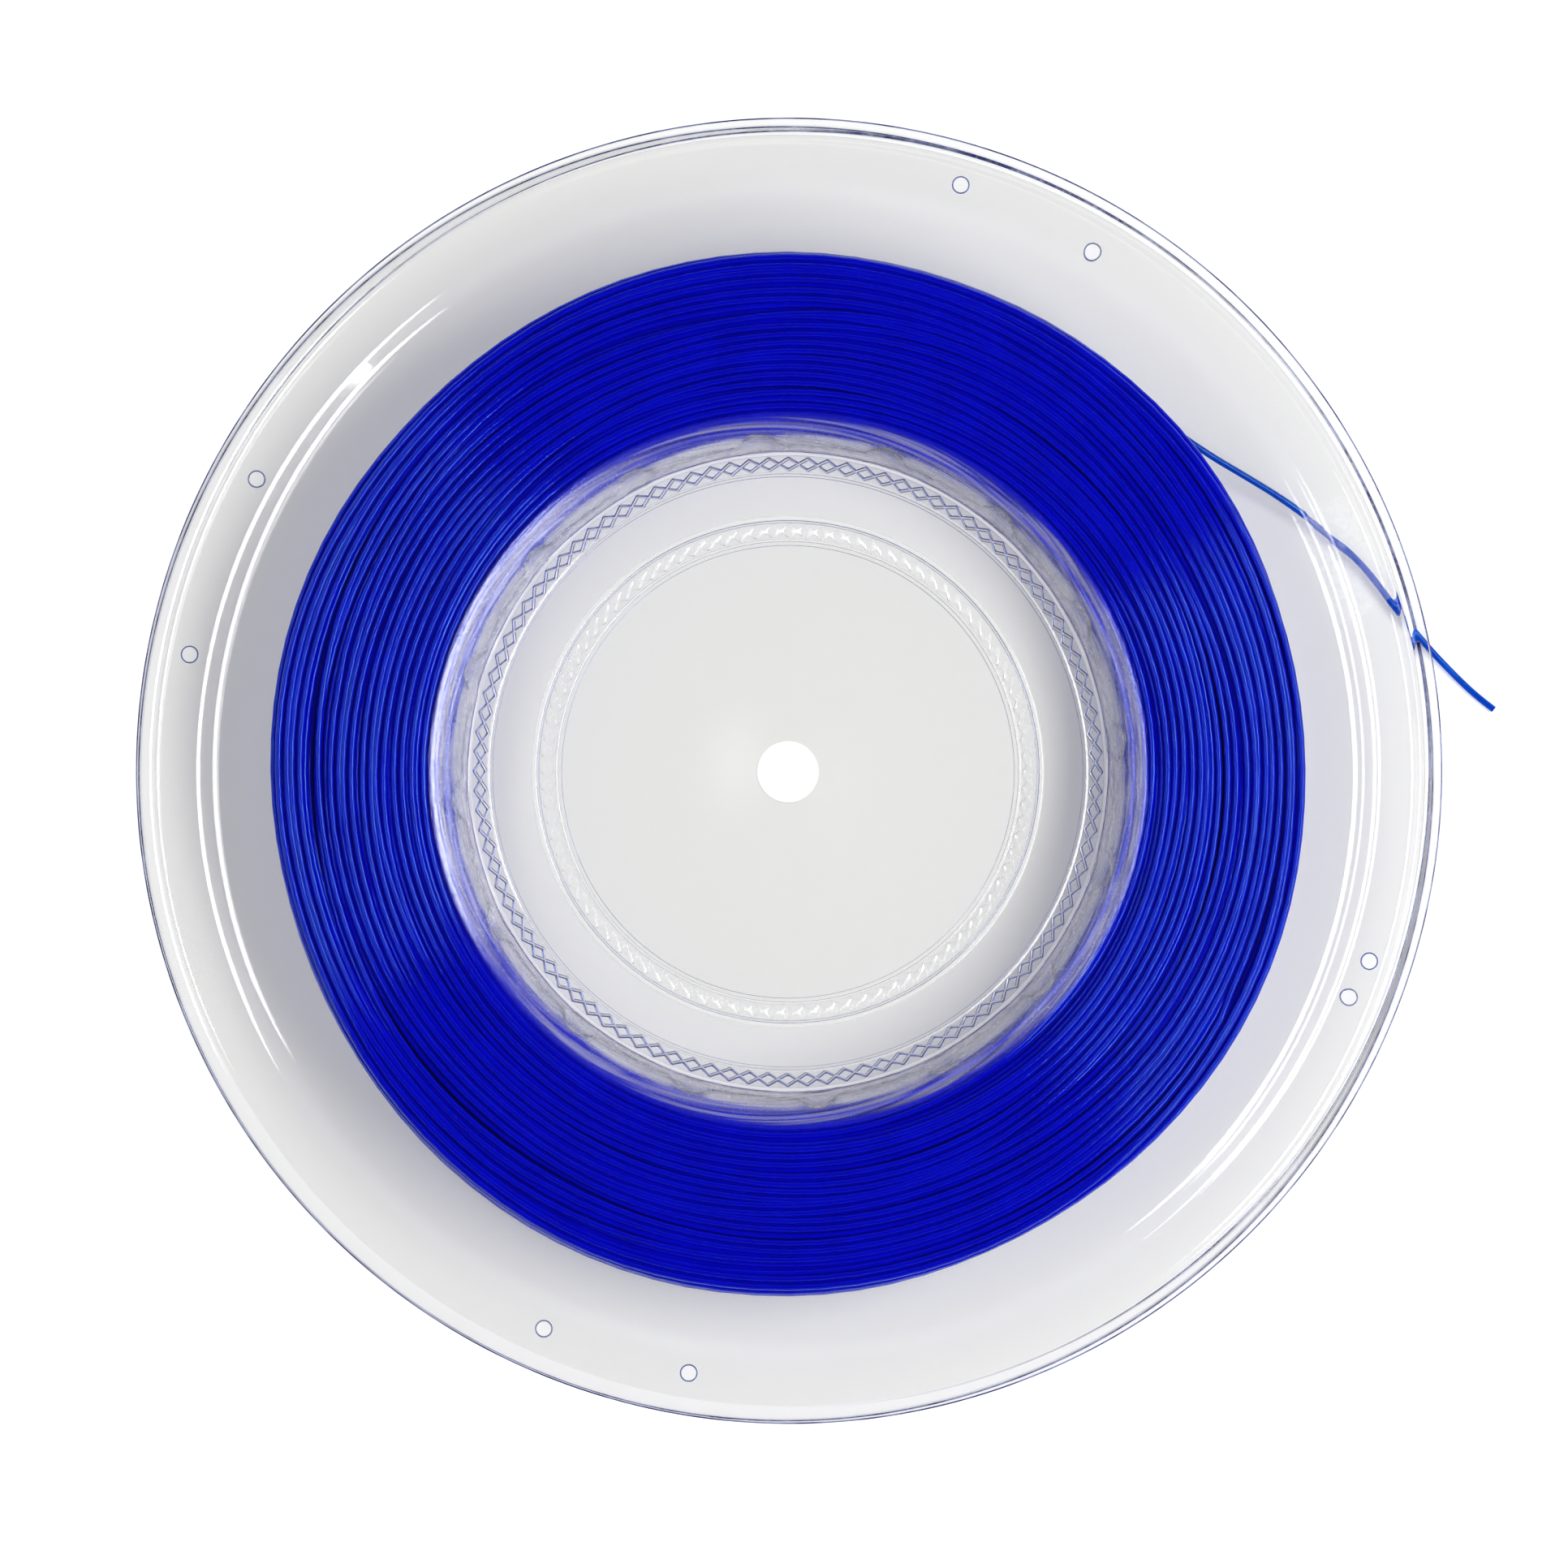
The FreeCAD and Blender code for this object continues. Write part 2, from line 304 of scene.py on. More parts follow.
def paleSweep():
    # seamless studio paper over a faintly lit table, which keeps the shadows thin
    material, tree = newMaterial("paleSweep")
    paper = addNode(tree, "ShaderNodeBsdfPrincipled",
                    {"Base Color": hexColour("FAFAFA"), "Roughness": 0.9,
                     "Emission Color": hexColour("FFFFFF"), "Emission Strength": 0.30})
    addNode(tree, "ShaderNodeOutputMaterial", None, {"Surface": paper.outputs[0]})
    return material


clearSheet = pressedPvcSheet("pressedPvcSheet", sheetLook["tint"], 1.0)
weldBloomAndPaintedHighlight = pressedPvcSheet("weldWhitenedAndPaintedHighlightPvc", "FFFFFF", 0.52)      # heat clouds the high spots; on lit knurl facets and the wall foot this white is a painted highlight
weldShade = pressedPvcSheet("weldPaintedNavyShadePvc", "2C3884", 0.95)          # painted navy shade: the string's blue piped through steep facets, painted on them
cutSheetEdge = slitPvcEdgePaintedPipedLight()
blueString = extrudedPolyester("extrudedPolyester", stringLook["deep"], stringLook["lit"])
looseString = extrudedPolyester("extrudedPolyesterPaintedLit", "003CC0", "0056D0")   # painted lighter than the wound string: painted light where the loose end lies in the lamps over the pale floor
tapeFilm = slitPolypropylene()
print("materials made")

cameraSet = {
    "distance": 3.0,
    "lean": (-0.070, -0.066),      # metres off the axis, so the lower rim shows past the upper
    "aim": (-0.0009, -0.0024, 0.020),
    "view": 0.2878,                # width seen at the upper flange
    "sensor": 36.0,
}
reach = cameraSet["distance"] - reelHeight
aim = Vector(cameraSet["aim"])
eye = Vector((cameraSet["lean"][0], cameraSet["lean"][1], cameraSet["distance"]))
deselectAll()
bpy.ops.object.camera_add(location=eye)
camera = bpy.context.object
camera.name = "studioCamera"
look = aim - eye
camera.rotation_euler = (math.asin(look.y / look.length), math.atan2(-look.x, -look.z), 0)
camera.data.sensor_width = cameraSet["sensor"]
camera.data.lens = cameraSet["sensor"] * reach / cameraSet["view"]
camera.data.clip_end = 20.0
bpy.context.scene.camera = camera

tail = {
    "diameter": 1.25 * mm,
    "route": (
        (72.2, 62.7, 8.6), (78.0, 58.8, 7.5), (84.8, 54.9, 6.2), (91.9, 50.7, 4.9),
        (98.4, 45.7, 3.4), (103.0, 42.1, 2.7), (106.3, 39.0, 2.55), (109.3, 35.4, 2.6),
        (112.8, 30.6, 2.5), (116.6, 26.1, 1.75), (120.3, 21.9, 1.35), (124.8, 17.3, 1.0),
        (128.4, 14.0, 0.8), (131.2, 11.9, 0.7),
    ),
    "length": 0.079,
}


def makeTail():
    line = bpy.data.curves.new("looseEnd", "CURVE")
    line.dimensions = "3D"
    line.bevel_depth = tail["diameter"] / 2
    line.bevel_resolution = 6
    line.resolution_u = 10
    line.use_fill_caps = True
    spline = line.splines.new("NURBS")
    spline.points.add(len(tail["route"]) - 1)
    for point, place in zip(spline.points, tail["route"]):
        point.co = (*[value * mm for value in place], 1.0)
    spline.order_u = 3
    spline.use_endpoint_u = True
    piece = bpy.data.objects.new("looseEnd", line)
    bpy.context.scene.collection.objects.link(piece)
    finishPiece(piece, looseString, "blue_string", "string_tail")


makeTail()
print("loose end laid")

winding = {
    "rowPitch": 1.55,          # mm between layers
    "columnPitch": 0.978,      # mm between neighbouring turns of a layer
    "columns": 19,
    "layers": 22,
    "firstRow": 61.85,         # mm, radius of the innermost turn's centre
    "points": 96,              # per turn
    "crossing": 62.0,          # degrees that a string takes to move to its next place
    "driftEachLayer": (15, 80),
    "wave": 1.5,               # mm, slow drift shared by neighbours
    "flutter": 0.35,           # mm, each turn's own
    "sink": 0.38,              # mm, how far end turns sit below the web
    "layersInPiece": 4,
    "seed": 7,
}


def hubLimit(height):
    # innermost centre that clears the hub wall and its flutes, at a height off the weld
    depth = abs(height)
    wall = 61.75 + depth * math.tan(math.radians(12))
    bend = 69.5 - math.sqrt(max(11.3 ** 2 - (depth + 2.5) ** 2, 0))
    return max(wall, bend) if depth > 5 else wall


def windingPlaces():
    # (radius, height, layer) of every turn in the order in which it was wound
    places = []
    half = (winding["columns"] - 1) / 2
    for layer in range(winding["layers"]):
        order = range(winding["columns"])
        if layer % 2:
            order = reversed(order)
        for column in order:
            height = (column - half) * winding["columnPitch"]
            radius = winding["firstRow"] + winding["rowPitch"] * (layer + 0.5 * (column % 2))
            if radius >= hubLimit(height):
                places.append((radius, height, layer))
    exitHeight = tail["route"][0][2] - weldHeight / mm
    while places[-1][1] < exitHeight:      # the last layer stops where the string leaves
        places.pop()
    return places


def easeInOut(share):
    share = min(max(share, 0.0), 1.0)
    return share * share * (3 - 2 * share)


def windingLine():
    # every point of the wound string, layer by layer, running clockwise
    random.seed(winding["seed"])
    places = windingPlaces()
    exitSpot = Vector(tail["route"][0])
    exitAngle = math.degrees(math.atan2(exitSpot.y, exitSpot.x))
    lastRadius = places[-1][0]
    leaveAngle = exitAngle + math.degrees(math.acos(lastRadius / exitSpot.to_2d().length))
    crossings = []
    drift = 0.0
    lastLayer = places[0][2]
    for index, (radius, height, layer) in enumerate(places):
        if layer != lastLayer:
            drift -= random.uniform(*winding["driftEachLayer"])
            lastLayer = layer
        crossings.append(360.0 * index + drift + random.uniform(-6, 6))
    total = crossings[-1]
    layers = {}
    step = 360.0 / winding["points"]
    count = int((total - crossings[0]) / step)
    place = 0
    for i in range(count + 1):
        turned = crossings[0] + i * step
        while place + 1 < len(places) - 1 and turned >= crossings[place + 1]:
            place += 1
        here, after = places[place], places[place + 1]
        share = easeInOut((turned - crossings[place]) / winding["crossing"])
        radius = here[0] + (after[0] - here[0]) * share
        height = here[1] + (after[1] - here[1]) * share
        angle = math.radians(leaveAngle + (total - turned))
        layers.setdefault(here[2], []).append(settled(radius, height, angle, here[2]))
    first = layers[max(layers)][-1]
    end = exitSpot - Vector((0, 0, weldHeight / mm))
    layers[max(layers)].append(first.lerp(end, 0.5))
    layers[max(layers)].append(end)
    return layers, len(places)


def settled(radius, height, angle, layer):
    # turns of neighbouring layers wander together, so groups close up and part again
    inner, outer = winding["firstRow"], 95.0
    share = easeInOut((radius - inner) / (outer - inner) * 1.6)
    way = Vector((math.cos(angle), math.sin(angle), 0))
    slow = noise.noise(way * 1.25 + Vector((0, 0, layer * 0.31 + height * 0.02)))
    quick = noise.noise(way * 2.6 + Vector((3.0, 0, layer * 0.83 + height * 0.4)))
    radius += share * (winding["wave"] * slow + winding["flutter"] * quick)
    sink = noise.noise(way * 1.9 + Vector((0, 7.0, layer * 1.3)))
    height -= math.copysign(winding["sink"] * (0.5 + sink) * min(abs(height) / 8.8, 1), height)
    return Vector((way.x * radius, way.y * radius, height))


def windString():
    layers, turns = windingLine()
    names = sorted(layers)
    length = 0.0
    for start in range(0, len(names), winding["layersInPiece"]):
        group = names[start:start + winding["layersInPiece"]]
        spots = [spot for layer in group for spot in layers[layer]]
        if start + winding["layersInPiece"] < len(names):
            spots.append(layers[names[start + winding["layersInPiece"]]][0])
        length += sum((b - a).length for a, b in zip(spots, spots[1:]))
        name = "stringLayers%d" % (start // winding["layersInPiece"] + 1)
        line = bpy.data.curves.new(name, "CURVE")
        line.dimensions = "3D"
        line.bevel_depth = stringRadius
        line.bevel_resolution = 3
        line.use_fill_caps = True
        spline = line.splines.new("POLY")
        spline.points.add(len(spots) - 1)
        flat = []
        for spot in spots:
            flat.extend((spot.x * mm, spot.y * mm, spot.z * mm + weldHeight, 1.0))
        spline.points.foreach_set("co", flat)
        piece = bpy.data.objects.new(name, line)
        bpy.context.scene.collection.objects.link(piece)
        makeActive(piece)
        bpy.ops.object.convert(target="MESH")
        piece = bpy.context.object
        piece.data.name = name
        bpy.ops.object.shade_smooth()
        finishPiece(piece, blueString, "blue_string", "string_winding")
    print("string wound: %d turns, %.1f m" % (turns, length * mm))


windString()

shell = {
    "sheet": 0.6,              # mm
    "spinSteps": 480,
    "arcSteps": 5,
    "guard": 0.1,              # mm, from a straight's end to the point that keeps it flat
    "guardedFrom": 1.2,        # mm, shorter straights have no such points
    "longest": 6.0,            # mm, between points of a straight
    "airGap": 0.03,            # mm, half of the thin gap between the two floors
    "bore": 5.65,
    "rim": 120.0,
    "floorRadius": 59.6,
    "draft": 12.0,             # degrees, of the hub wall
    "bandDepth": 11.5,         # weld plane to the rim band and to the lip
    "lipDepth": 12.7,
    "cutEdge": 0.26,           # mm, the trimmed edge's broken corner
    # string side: radius, depth from the weld plane, bend radius
    "corners": (
        (59.6, 0.0, 1.2), (61.0, 6.58, 4.0), (66.5, 9.5, 12.0), (105.2, 9.5, 5.0),
        (109.1, 11.5, 4.5), (116.2, 11.5, 1.4), (117.3, 12.7, 1.4),
    ),
    # hollow side of the floor, from the wall inwards: radius and height off the flat
    "outerLip": ((58.5, 0.0), (58.36, -0.02), (58.3, -0.15), (58.2, -0.15)),
    "between": (
        (55.45, -0.15), (55.40, 0.06), (55.32, 0.16), (55.20, 0.20), (55.08, 0.16),
        (55.00, 0.06), (54.94, -0.14), (54.50, -0.14), (54.44, 0.0), (50.8, 0.02),
        (47.30, 0.0), (47.22, 0.10), (47.05, 0.18), (46.80, 0.21), (46.55, 0.18), (46.38, 0.10),
        (46.30, -0.12), (46.02, -0.12), (45.97, 0.04), (45.90, 0.04), (45.86, -0.15),
        (45.8, -0.15),
    ),
    "innerFloor": (
        (43.05, -0.15), (42.99, 0.06), (42.90, 0.14), (42.76, 0.17), (42.62, 0.14), (42.52, 0.06),
        (42.46, -0.08), (41.78, -0.08), (41.72, 0.06), (41.4, 0.07), (38.0, 0.03),
    ),
    "knurls": ((55.45, 58.2, 100), (43.05, 45.8, 92)),   # inner and outer radius, crosses
    "knurlMargin": 0.29,       # mm, left at both sides of a band for the bridge
    "ridge": (0.24, 0.42),     # half width and height of a cross's line
    "faintInside": 50.0,       # the inner band took less pressure
    "faintLift": 0.35,
    "bandSink": 0.15,          # mm, how far the weld pressed a band into the floor
    "steepSteps": ((54.2, 54.8), (45.8, 46.45), (41.5, 42.0)),      # painted navy shade lines beside the beads, for the blue refracted at the steps
    # rings painted with the clouded white: weld whitening on the beads, a painted highlight on the
    # bright wall foot at 58.3 to 58.9
    "whitenedAndHighlitRings": ((58.3, 58.9), (54.98, 55.42), (46.6, 47.0), (42.5, 42.8)),
    "flutes": 16,
    "firstFlute": 5.2,         # degrees
    "fluteAxis": 55.33,
    "fluteHollow": 5.07,       # radius on the hollow side
    "tieHoles": (73.7, 169.1, 260.5, 341.8),
    "tieRadius": 112.2,
    "tieHole": 1.35,
    "tieBurr": 0.13,           # mm, radius of the raised burr's section
    "burrOut": 0.16,           # mm, from the hole's edge to the burr's middle
    "turnedBy": -39.9,         # how far the lower shell is turned against the upper
    "wallRipple": 0.22,        # mm
}


def bentLine():
    # string side as points with the direction across the sheet at each
    lip = shell["lipDepth"]
    corners = [(shell["bore"], 0.0, 0.0), *shell["corners"], (shell["rim"], lip, 0.0)]
    line = [(Vector((corners[0][0], 0.0)), Vector((0.0, 1.0)))]
    for before, here, after in zip(corners, corners[1:], corners[2:]):
        a, b, c = (Vector(p[:2]) for p in (before, here, after))
        into, out = (b - a).normalized(), (c - b).normalized()
        turn = into.angle_signed(out)              # clockwise is positive
        side = -1.0 if turn > 0 else 1.0
        start = b - into * here[2] * math.tan(abs(turn) / 2)
        centre = start + Vector((-into.y, into.x)) * side * here[2]
        for i in range(shell["arcSteps"] + 1):
            share = i / shell["arcSteps"]
            across = Vector((-into.y, into.x))
            angle = -turn * share
            across = Vector((across.x * math.cos(angle) - across.y * math.sin(angle),
                             across.x * math.sin(angle) + across.y * math.cos(angle)))
            line.append((centre - across * side * here[2], across))
    line.append((Vector((shell["rim"], lip)), Vector((0.0, 1.0))))
    return line


def finerLine(points):
    # more points on long straight stretches, and one close to each end to keep flats flat
    guard = shell["guard"]
    out = [points[0]]
    for a, b in zip(points, points[1:]):
        length = (b - a).length
        if length > shell["guardedFrom"]:
            parts = max(1, math.ceil((length - 2 * guard) / shell["longest"]))
            first, last = a.lerp(b, guard / length), b.lerp(a, guard / length)
            out.extend(first.lerp(last, i / parts) for i in range(parts + 1))
        out.append(b)
    return out


def spunChain(name, points):
    # one vertex drawn along the section, then spun round the reel's axis
    deselectAll()
    bpy.ops.mesh.primitive_plane_add(size=mm, location=(0, 0, 0))
    piece = namePiece(name)
    bpy.ops.object.mode_set(mode="EDIT")
    bpy.ops.mesh.select_all(action="SELECT")
    bpy.ops.mesh.merge(type="CENTER")
    spots = [Vector((p.x * mm, 0, p.y * mm + weldHeight)) for p in points]
    bpy.ops.transform.translate(value=spots[0])
    for a, b in zip(spots, spots[1:]):
        bpy.ops.mesh.extrude_vertices_move(TRANSFORM_OT_translate={"value": b - a})
    bpy.ops.object.mode_set(mode="OBJECT")
    turn = piece.modifiers.new("turnRound", "SCREW")
    turn.axis = "Z"
    turn.angle = 2 * math.pi
    turn.steps = turn.render_steps = shell["spinSteps"]
    turn.use_merge_vertices = True
    turn.merge_threshold = 0.002 * mm
    bpy.ops.object.modifier_apply(modifier="turnRound")
    return piece


def knurledRing(inner, outer, crosses, height):
    # a ring of squares, each poked to a cross whose lines are bevelled and raised
    deselectAll()
    bpy.ops.mesh.primitive_circle_add(vertices=crosses, radius=inner * mm,
                                      location=(0, 0, 0), fill_type="NOTHING")
    piece = namePiece("knurledRing")
    bpy.ops.object.mode_set(mode="EDIT")
    bpy.ops.mesh.select_all(action="SELECT")
    bpy.ops.mesh.extrude_edges_move()
    bpy.ops.transform.resize(value=(outer / inner, outer / inner, 1))
    bpy.ops.mesh.select_all(action="SELECT")
    bpy.ops.transform.translate(value=(0, 0, height))
    bpy.ops.mesh.poke()
    middle = (inner + outer) / 2 * mm

    def atMiddle(spot):
        return abs(spot.to_2d().length - middle) < 0.3 * mm

    selectEdges(piece, lambda a, b: atMiddle(a) != atMiddle(b))
    halfWidth, lift = shell["ridge"]
    if outer < shell["faintInside"]:
        lift *= shell["faintLift"]
    bpy.ops.mesh.bevel(offset=halfWidth * mm, offset_type="OFFSET", segments=2,
                       affect="EDGES", clamp_overlap=True)

    def onCross(spot):
        turned = math.atan2(spot.y, spot.x) / (2 * math.pi) * crosses + 0.25
        across = (turned - 0.25) % 1.0
        flat = Vector((spot.x, spot.y)).length
        half = math.pi / crosses
        chord = math.cos(half) / math.cos((across - 0.5) * 2 * half)    # sides are straight
        out = (flat / chord / mm - inner) / (outer - inner)
        across = 0.5 + math.tan((across - 0.5) * 2 * half) / math.tan(half) / 2
        near = min(abs(across - out), abs(across + out - 1)) * (outer - inner)
        return near < 0.06
    selectVerts(piece, onCross)
    bpy.ops.transform.translate(value=(0, 0, lift * mm))
    bpy.ops.object.mode_set(mode="OBJECT")
    return piece


def bridgeRings(piece, radius):
    # joins the two open rims that stand at about this radius
    def near(spot):
        return abs(spot.to_2d().length / mm - radius) < 0.25

    bpy.ops.object.mode_set(mode="OBJECT")
    bpy.context.view_layer.objects.active = piece
    bpy.ops.object.mode_set(mode="EDIT")
    bpy.ops.mesh.select_mode(type="EDGE")
    bpy.ops.mesh.select_all(action="DESELECT")
    bpy.ops.mesh.select_non_manifold(extend=False, use_wire=True, use_boundary=True,
                                     use_multi_face=False, use_non_contiguous=False,
                                     use_verts=False)
    bpy.ops.object.mode_set(mode="OBJECT")
    mesh = piece.data
    for edge in mesh.edges:
        if edge.select and not all(near(mesh.vertices[v].co) for v in edge.vertices):
            edge.select = False
    for vert in mesh.vertices:
        vert.select = False
    picked = {v for edge in mesh.edges if edge.select for v in edge.vertices}
    for index in picked:
        mesh.vertices[index].select = True
    bpy.ops.object.mode_set(mode="EDIT")
    bpy.ops.mesh.bridge_edge_loops()
    bpy.ops.object.mode_set(mode="OBJECT")


def pressFlutes(piece):
    # pushes the hub wall out into round flutes and gives it the ripple of drawn sheet
    hollow = shell["fluteHollow"]
    for vert in piece.data.vertices:
        x, y = vert.co.x / mm, vert.co.y / mm
        flat = math.hypot(x, y)
        depth = (vert.co.z - weldHeight) / mm
        if not 58.55 < flat < 67.5 or depth < 0.02:
            continue
        angle = math.degrees(math.atan2(y, x)) - shell["firstFlute"]
        pitch = 360 / shell["flutes"]
        off = math.radians((angle + pitch / 2) % pitch - pitch / 2)
        lean = math.tan(math.radians(shell["draft"])) * max(depth, 0)
        wall = shell["floorRadius"] + lean
        outside = min(max((flat - (wall - 0.62)) / 0.62, 0), 1)      # 1 on the string side
        radius = hollow + shell["sheet"] * outside
        axis = shell["fluteAxis"] + lean
        reachSide = radius ** 2 - (axis * math.sin(off)) ** 2
        grow = 0.0
        if reachSide > 0:
            fluteOut = axis * math.cos(off) + math.sqrt(reachSide)
            gap = fluteOut - flat
            grow = max(0.0, (gap + math.sqrt(gap * gap + 0.06)) / 2)
            grow *= 0.15 + 0.85 * easeInOut((depth - 0.4) / 3.0)
            grow *= easeInOut((9.3 - depth) / 3.5)
        way = Vector((x, y, 0)) / flat
        ripple = noise.noise(Vector((way.x * 16, way.y * 16, depth * 0.22)))
        fade = easeInOut((depth - 0.5) / 2) * easeInOut((9.0 - depth) / 3)
        grow += shell["wallRipple"] * ripple * fade
        vert.co.x += way.x * grow * mm
        vert.co.y += way.y * grow * mm


def tieSpots(depth):
    # middles of the tie holes at a depth from the weld plane
    spots = []
    for angle in shell["tieHoles"]:
        turn = math.radians(angle)
        spots.append((shell["tieRadius"] * math.cos(turn) * mm,
                      shell["tieRadius"] * math.sin(turn) * mm, weldHeight + depth * mm))
    return spots


def drillTieHoles(piece):
    deselectAll()
    drills = []
    for spot in tieSpots(shell["bandDepth"] + shell["sheet"] / 2):
        bpy.ops.mesh.primitive_cylinder_add(vertices=28, radius=shell["tieHole"] * mm,
                                            depth=3 * mm, location=spot)
        drills.append(namePiece("tieDrill"))
    drill = joinInto(drills[0], drills[1:])
    makeActive(piece)
    cut = piece.modifiers.new("tieHoles", "BOOLEAN")
    cut.operation = "DIFFERENCE"
    cut.solver = "EXACT"
    cut.object = drill
    bpy.ops.object.modifier_apply(modifier="tieHoles")
    bpy.data.objects.remove(drill)
    burrs = []
    for spot in tieSpots(shell["bandDepth"] + shell["sheet"] + 0.02):
        deselectAll()                     # the punch leaves a raised burr round each hole
        bpy.ops.mesh.primitive_torus_add(
            major_segments=32, minor_segments=6, location=spot,
            major_radius=(shell["tieHole"] + shell["burrOut"]) * mm,
            minor_radius=shell["tieBurr"] * mm)
        burrs.append(namePiece("tieBurr"))
    joinInto(piece, burrs)


def formShell():
    line = bentLine()
    sheet = shell["sheet"]
    stringSide = [p for p, across in line]
    stringSide = [Vector((p.x, max(p.y, shell["airGap"]))) for p in stringSide]
    hollowSide = []
    for p, across in line:          # even gauge on the wall, straight up on the web and lip
        upright = easeInOut((p.x - 65.5) / 5.0)
        hollowSide.append(p + (across * (1 - upright) + Vector((0, 1)) * upright) * sheet)
    floorEnd = shell["outerLip"][0][0]
    hollowSide = [p for p in hollowSide if p.x > floorEnd]
    lip = shell["lipDepth"]
    edge = [Vector((shell["rim"], lip + sheet * s)) for s in (0.2, 0.8)]
    cut = shell["rim"] - shell["cutEdge"]
    rimPoint = [Vector((cut, lip)), *edge, Vector((cut, lip + sheet))]
    main = stringSide[:-1] + rimPoint + hollowSide[:-1][::-1]
    main += [Vector((r, sheet + h)) for r, h in shell["outerLip"]]
    inward = [Vector((r, sheet + h)) for r, h in shell["innerFloor"]]
    inward += [Vector((shell["bore"] + 0.1, sheet)), Vector((shell["bore"], sheet - 0.1))]
    section = inward + main
    piece = spunChain("upperShell", finerLine(section))
    middle = finerLine([Vector((r, sheet + h)) for r, h in shell["between"]])
    parts = [spunChain("floorRing", middle)]
    sunk = weldHeight + (sheet - shell["bandSink"]) * mm
    margin = shell["knurlMargin"]
    for inner, outer, crosses in shell["knurls"]:
        parts.append(knurledRing(inner + margin, outer - margin, crosses, sunk))
    joinInto(piece, parts)
    for inner, outer, crosses in shell["knurls"]:
        bridgeRings(piece, inner)
        bridgeRings(piece, outer)
    bpy.ops.object.mode_set(mode="EDIT")
    bpy.ops.mesh.select_all(action="SELECT")
    bpy.ops.mesh.normals_make_consistent(inside=False)
    bpy.ops.object.mode_set(mode="OBJECT")
    pressFlutes(piece)
    drillTieHoles(piece)
    makeActive(piece)
    bpy.ops.object.shade_smooth_by_angle(angle=math.radians(32))
    return piece


def weldFacet(spot, way):
    # sorts faces into the navy painted shade for the string's blue piped through steep facets, the
    # clouded white (weld whitening, and a painted highlight on lit facets) and the plain
    flat = spot.to_2d().length
    radius = flat / mm
    offWeld = abs(spot.z - weldHeight)
    bandTop = (shell["bandDepth"] + shell["sheet"] + 0.04) * mm
    if 110 < radius < 114.5 and offWeld > bandTop:
        return "shade"                  # only the punch burrs stand that high here; their painted navy shade outlines the tie holes
    if offWeld <= 0.3 * mm or not 41.5 < radius < 59.0:
        return "plain"
    outward = (way.x * spot.x + way.y * spot.y) / flat
    if any(inner < radius < outer for inner, outer, crosses in shell["knurls"]):
        if abs(way.z) > 0.9 or radius < shell["faintInside"]:
            return "plain"
        # outward knurl facets take the painted navy shade, inward ones the clouded white as their
        # painted highlight
        return "shade" if outward > 0.1 else "bloomAndPaintedHighlight"
    if any(low < radius < high for low, high in shell["steepSteps"]):
        return "shade" if abs(way.z) < 0.97 else "plain"
    if any(low < radius < high for low, high in shell["whitenedAndHighlitRings"]):
        return "bloomAndPaintedHighlight"
    return "plain"


def makeShells():
    upper = formShell()
    makeActive(upper)
    bpy.ops.object.duplicate()
    lower = namePiece("lowerShell")
    lower.location.z = -weldHeight
    bpy.ops.object.transform_apply(location=True, rotation=False, scale=False)
    lower.rotation_euler = (math.pi, 0, math.radians(shell["turnedBy"]))
    lower.location.z = weldHeight
    bpy.ops.object.transform_apply(location=True, rotation=True, scale=False)
    finishPiece(upper, clearSheet, "clear_sheet", "front_shell")
    finishPiece(lower, clearSheet, "clear_sheet", "rear_shell")
    rim = (shell["rim"] - shell["cutEdge"] - 0.01) * mm
    for piece in (upper, lower):
        # the trimmed edge gets painted piped light, weld facets the clouded white with its painted
        # highlight, steep facets painted navy shade
        paintFaces(piece, cutSheetEdge, lambda spot, way: spot.to_2d().length > rim)
        paintFaces(piece, weldBloomAndPaintedHighlight, lambda spot, way: weldFacet(spot, way) == "bloomAndPaintedHighlight")
        paintFaces(piece, weldShade, lambda spot, way: weldFacet(spot, way) == "shade")
        print("%s: %d faces" % (piece.name, len(piece.data.polygons)))


makeShells()

tape = {
    "endMiddle": (108.05, 42.3),       # mm, middle of the outer end
    "turn": 29.5,                      # degrees, the way its length points
    "halfWidth": 10.4,
    "torn": (-9.9, -12.0),             # inner end at its two sides
    "tooth": (0.65, 0.34),             # pitch and depth of the cutter's teeth
    "film": 0.08,
    "lift": 0.08,                      # glue under the film
    "rows": 30, "columns": 128,
}


def lowerSheetTop(radius):
    # string side of the lower shell, from its web down the step to its rim band
    share = easeInOut((radius - 104.4) / 5.4)
    return 3.8 - 2.0 * share


def overTail(x, y):
    # how high the film is held up by the string under it
    best = -1.0
    route = tail["route"]
    for a, b in zip(route, route[1:]):
        ax, ay, bx, by = a[0], a[1], b[0], b[1]
        run = (bx - ax) ** 2 + (by - ay) ** 2
        share = min(max(((x - ax) * (bx - ax) + (y - ay) * (by - ay)) / run, 0), 1)
        gap = math.hypot(x - ax - (bx - ax) * share, y - ay - (by - ay) * share)
        top = a[2] + (b[2] - a[2]) * share + 0.70
        best = max(best, top - max(gap - 0.45, 0) * 0.9)
    return best


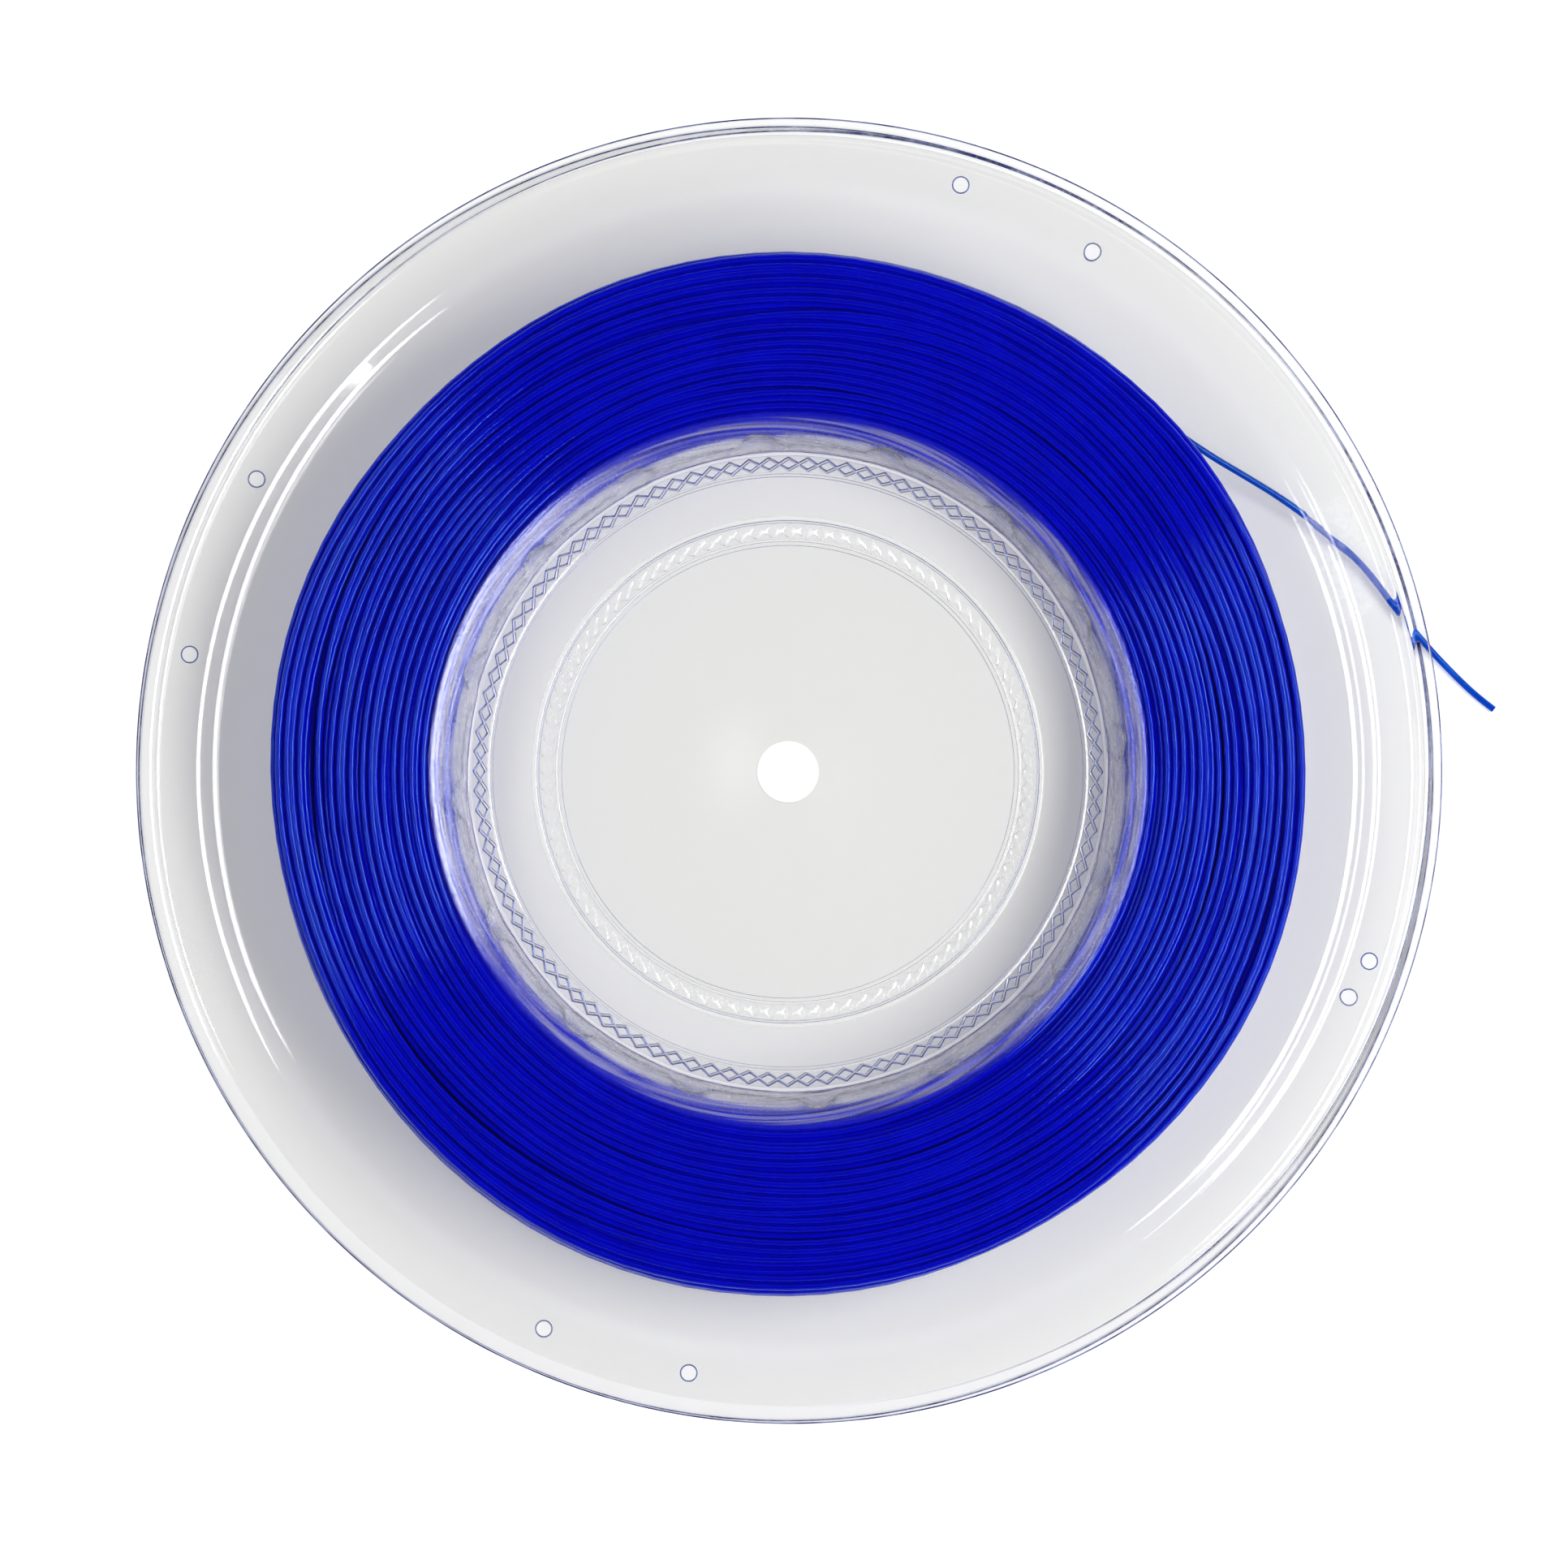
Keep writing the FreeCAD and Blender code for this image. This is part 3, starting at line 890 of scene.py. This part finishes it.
def stickTape():
    deselectAll()
    bpy.ops.mesh.primitive_grid_add(x_subdivisions=tape["rows"], y_subdivisions=tape["columns"],
                                    size=2, location=(0, 0, 0))
    piece = namePiece("tornTape")
    turn = math.radians(tape["turn"])
    along, across = (math.cos(turn), math.sin(turn)), (-math.sin(turn), math.cos(turn))
    pitch, depth = tape["tooth"]
    for vert in piece.data.vertices:
        v = vert.co.y * tape["halfWidth"]
        share = (vert.co.y + 1) / 2
        innerEnd = tape["torn"][1] + (tape["torn"][0] - tape["torn"][1]) * share
        innerEnd += depth * abs((v / pitch) % 1.0 - 0.5) * 2
        u = innerEnd * (1 - vert.co.x) / 2
        x = tape["endMiddle"][0] + along[0] * u + across[0] * v
        y = tape["endMiddle"][1] + along[1] * u + across[1] * v
        high = max(lowerSheetTop(math.hypot(x, y)), overTail(x, y)) + tape["lift"]
        vert.co = (x * mm, y * mm, high * mm)
    makeActive(piece)
    film = piece.modifiers.new("film", "SOLIDIFY")
    film.thickness = tape["film"] * mm
    film.offset = 1
    bpy.ops.object.modifier_apply(modifier="film")
    bpy.ops.object.shade_smooth_by_angle(angle=math.radians(50))
    finishPiece(piece, tapeFilm, "clear_tape", "tail_tape")
    print("tape stuck down")


stickTape()

deselectAll()
bpy.ops.mesh.primitive_plane_add(size=6.0, location=(0, 0, 0))
floor = namePiece("paperSweep")
floor.data.materials.append(paleSweep())

softboxes = {            # place of the middle, size across and along, radiance
    "rightSoftbox": ((0.83, -0.22, 1.19), (0.38, 1.25), 11.5),
    "leftSoftbox": ((-0.76, 0.20, 1.19), (0.22, 1.20), 6.0),
}
for name, (place, size, radiance) in softboxes.items():
    deselectAll()
    bpy.ops.object.light_add(type="AREA", location=place)
    lamp = bpy.context.object
    lamp.name = name
    lamp.data.shape = "RECTANGLE"
    lamp.data.size, lamp.data.size_y = size
    lamp.data.energy = radiance * math.pi * size[0] * size[1]      # an even panel
    lamp.rotation_euler = (0, math.atan2(place[0], place[2]), 0)   # leans towards the reel

world = bpy.data.worlds.new("studio")
bpy.context.scene.world = world
world.use_nodes = True
sky = world.node_tree
back = sky.nodes["Background"]
back.inputs["Color"].default_value = (1.0, 1.0, 1.0, 1)
seen = addNode(sky, "ShaderNodeTexCoord")
parts = addNode(sky, "ShaderNodeSeparateXYZ", None, {"Vector": seen.outputs["Generated"]})
dome = addNode(sky, "ShaderNodeMapRange",       # the walls give light, the ceiling is dark
               {"From Min": 0.70, "From Max": 0.90, "To Min": 0.26, "To Max": 0.02},
               {"Value": parts.outputs["Z"]})
sky.links.new(dome.outputs[0], back.inputs["Strength"])
bpy.context.scene.view_settings.view_transform = "Standard"
bpy.context.scene.cycles.transparent_max_bounces = 32      # many clear sheets lie over each other
print("stage lit")
